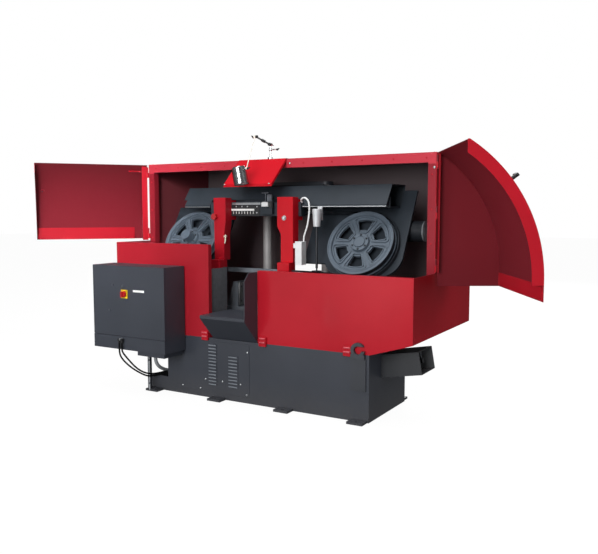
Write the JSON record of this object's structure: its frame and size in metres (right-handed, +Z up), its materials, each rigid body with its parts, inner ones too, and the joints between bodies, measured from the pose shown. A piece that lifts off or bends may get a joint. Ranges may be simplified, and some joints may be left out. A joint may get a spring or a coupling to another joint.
{
  "type": "double column band saw",
  "caption": "Horizontal double column metal band saw with tilted band wheels, lifting saw head, hydraulic vise, swing-open curved hoods, electric cabinet, chip chute and work lamp.",
  "frame": {"origin": "on the floor, at the centre of the outer anchor-bolt pattern", "axes": "+Z up, -Y is the front where cut pieces come out, +X is the drive side"},
  "size_m": [4.6623, 1.7359, 2.169],
  "materials": {
    "red_sheet": "gloss powder coat",
    "grey_paint": "satin paint",
    "red_paint": "gloss paint",
    "wheel_iron": "painted casting, machined rim",
    "cast_iron": "painted casting",
    "bright_steel": "ground",
    "chrome": "polished",
    "bronze": "turned",
    "aluminium": "satin",
    "black_plastic": "matt",
    "white_plastic": "satin",
    "red_plastic": "satin",
    "rubber": "matt",
    "grey_plastic": "matt"
  },
  "bodies": {
    "base": {"base_frame": "grey_paint", "louvre_panel": "grey_paint", "lifting_hooks": "grey_paint", "front_panel_left": "red_sheet", "front_panel_right": "red_sheet", "end_panel_left": "red_sheet", "end_panel_right": "red_sheet", "drain_pan": "red_sheet", "roof_panel": "red_sheet", "rear_panel": "red_sheet", "door_frame": "red_sheet", "centre_hood": "red_sheet", "guide_columns": "bright_steel", "column_tie": "grey_paint", "vise_bed": "cast_iron", "fixed_jaw": "cast_iron", "outfeed_table": "grey_paint", "chip_chute": "grey_paint", "cabinet_body": "grey_paint", "switchgear_plate": "grey_plastic", "cable_glands": "black_plastic", "cable_outer": "rubber", "cable_inner": "rubber", "conduit": "grey_plastic", "lift_cylinder": "bright_steel", "vise_cylinder": "bright_steel", "hydraulic_unit": "grey_paint", "hood_hinges": "red_paint", "lamp_base": "aluminium"},
    "saw_head": {"saw_frame": "grey_paint", "head_carriage": "cast_iron", "carriage_bushes": "bronze", "gearbox": "cast_iron", "drive_motor": "grey_paint", "guide_rail": "bright_steel", "scale_plate": "black_plastic", "right_guide_arm": "red_paint", "saw_blade": "bright_steel", "brush_motor": "aluminium", "coolant_block": "white_plastic", "coolant_hose": "white_plastic", "lift_rod": "chrome"},
    "drive_wheel": {"drive_wheel": "wheel_iron", "drive_shaft": "bright_steel"},
    "tension_slide": {"tension_slide": "cast_iron"},
    "idler_wheel": {"idler_wheel": "wheel_iron"},
    "left_arm": {"left_guide_arm": "red_paint"},
    "clamp_knob": {"arm_clamp_knob": "red_plastic"},
    "vise_jaw": {"movable_jaw": "cast_iron"},
    "left_hood": {"left_hood": "red_sheet"},
    "right_hood": {"right_hood": "red_sheet"},
    "left_latch": {"left_latch_handle": "black_plastic"},
    "right_latch": {"right_latch_handle": "black_plastic"},
    "cabinet_door": {"cabinet_door": "grey_paint"},
    "main_switch": {"main_switch_knob": "red_plastic"},
    "lamp_lower": {"lamp_arm_lower": "black_plastic"},
    "lamp_upper": {"lamp_arm_upper": "chrome"},
    "lamp_head": {"lamp_head": "aluminium"},
    "auger": {"chip_auger": "bright_steel"},
    "brush": {"wire_brush": "bright_steel"}
  },
  "joints": [
    {"name": "head_lift", "type": "slide", "parent": "base", "child": "saw_head", "axis": [0, 0, 1], "range_m": [-0.32, 0]},
    {"name": "drive_wheel_spin", "type": "hinge", "parent": "saw_head", "child": "drive_wheel", "pos_m": [0.764, 0.07, 1.282], "axis": [0, -0.866, 0.5], "continuous": true},
    {"name": "band_tension", "type": "slide", "parent": "saw_head", "child": "tension_slide", "axis": [1, 0, 0], "range_m": [0, 0.03]},
    {"name": "idler_wheel_spin", "type": "hinge", "parent": "tension_slide", "child": "idler_wheel", "pos_m": [-0.906, 0.07, 1.282], "axis": [0, -0.866, 0.5], "continuous": true},
    {"name": "left_arm_slide", "type": "slide", "parent": "saw_head", "child": "left_arm", "axis": [1, 0, 0], "range_m": [0, 0.3]},
    {"name": "clamp_knob_turn", "type": "hinge", "parent": "left_arm", "child": "clamp_knob", "pos_m": [-0.549, -0.05, 1.488], "axis": [0, -1, 0], "range_deg": [0, 360]},
    {"name": "vise_close", "type": "slide", "parent": "base", "child": "vise_jaw", "axis": [1, 0, 0], "range_m": [0, 0.455]},
    {"name": "left_hood_swing", "type": "hinge", "parent": "base", "child": "left_hood", "pos_m": [-1.421, 0.075, 1.612], "axis": [0, 0, 1], "range_deg": [0, 130]},
    {"name": "right_hood_swing", "type": "hinge", "parent": "base", "child": "right_hood", "pos_m": [1.371, 0.075, 1.522], "axis": [0, 0, 1], "range_deg": [-120, 0]},
    {"name": "left_latch_turn", "type": "hinge", "parent": "left_hood", "child": "left_latch", "pos_m": [-2.2226, -0.45988, 1.72165], "axis": [-0.6111, 0.5128, 0.603], "range_deg": [0, 90]},
    {"name": "right_latch_turn", "type": "hinge", "parent": "right_hood", "child": "right_latch", "pos_m": [2.05305, -0.56583, 1.72165], "axis": [0.6909, 0.3989, 0.603], "range_deg": [-90, 0]},
    {"name": "cabinet_door_swing", "type": "hinge", "parent": "base", "child": "cabinet_door", "pos_m": [-1.436, -0.597, 0.788], "axis": [0, 0, 1], "range_deg": [-110, 0]},
    {"name": "main_switch_turn", "type": "hinge", "parent": "cabinet_door", "child": "main_switch", "pos_m": [-1.074, -0.616, 0.848], "axis": [0, -1, 0], "range_deg": [0, 90]},
    {"name": "lamp_shoulder", "type": "hinge", "parent": "base", "child": "lamp_lower", "pos_m": [-0.087, 0.103, 2.088], "axis": [0, 1, 0], "range_deg": [0, 50]},
    {"name": "lamp_elbow", "type": "hinge", "parent": "lamp_lower", "child": "lamp_upper", "pos_m": [-0.22, 0.086, 2.157], "axis": [1, 0, 0], "range_deg": [-60, 0]},
    {"name": "lamp_tilt", "type": "hinge", "parent": "lamp_upper", "child": "lamp_head", "pos_m": [-0.118, -0.225, 1.874], "axis": [1, 0, 0], "range_deg": [-60, 0]},
    {"name": "auger_spin", "type": "hinge", "parent": "base", "child": "auger", "pos_m": [1.034, 0.01, 0.379], "axis": [0.9848, 0, 0.1736], "continuous": true},
    {"name": "brush_spin", "type": "hinge", "parent": "saw_head", "child": "brush", "pos_m": [0.419, -0.015, 1.042], "axis": [0, 0, 1], "continuous": true}
  ],
  "couplings": [
    {"joint": "idler_wheel_spin", "follows": "drive_wheel_spin", "ratio": 1}
  ]
}
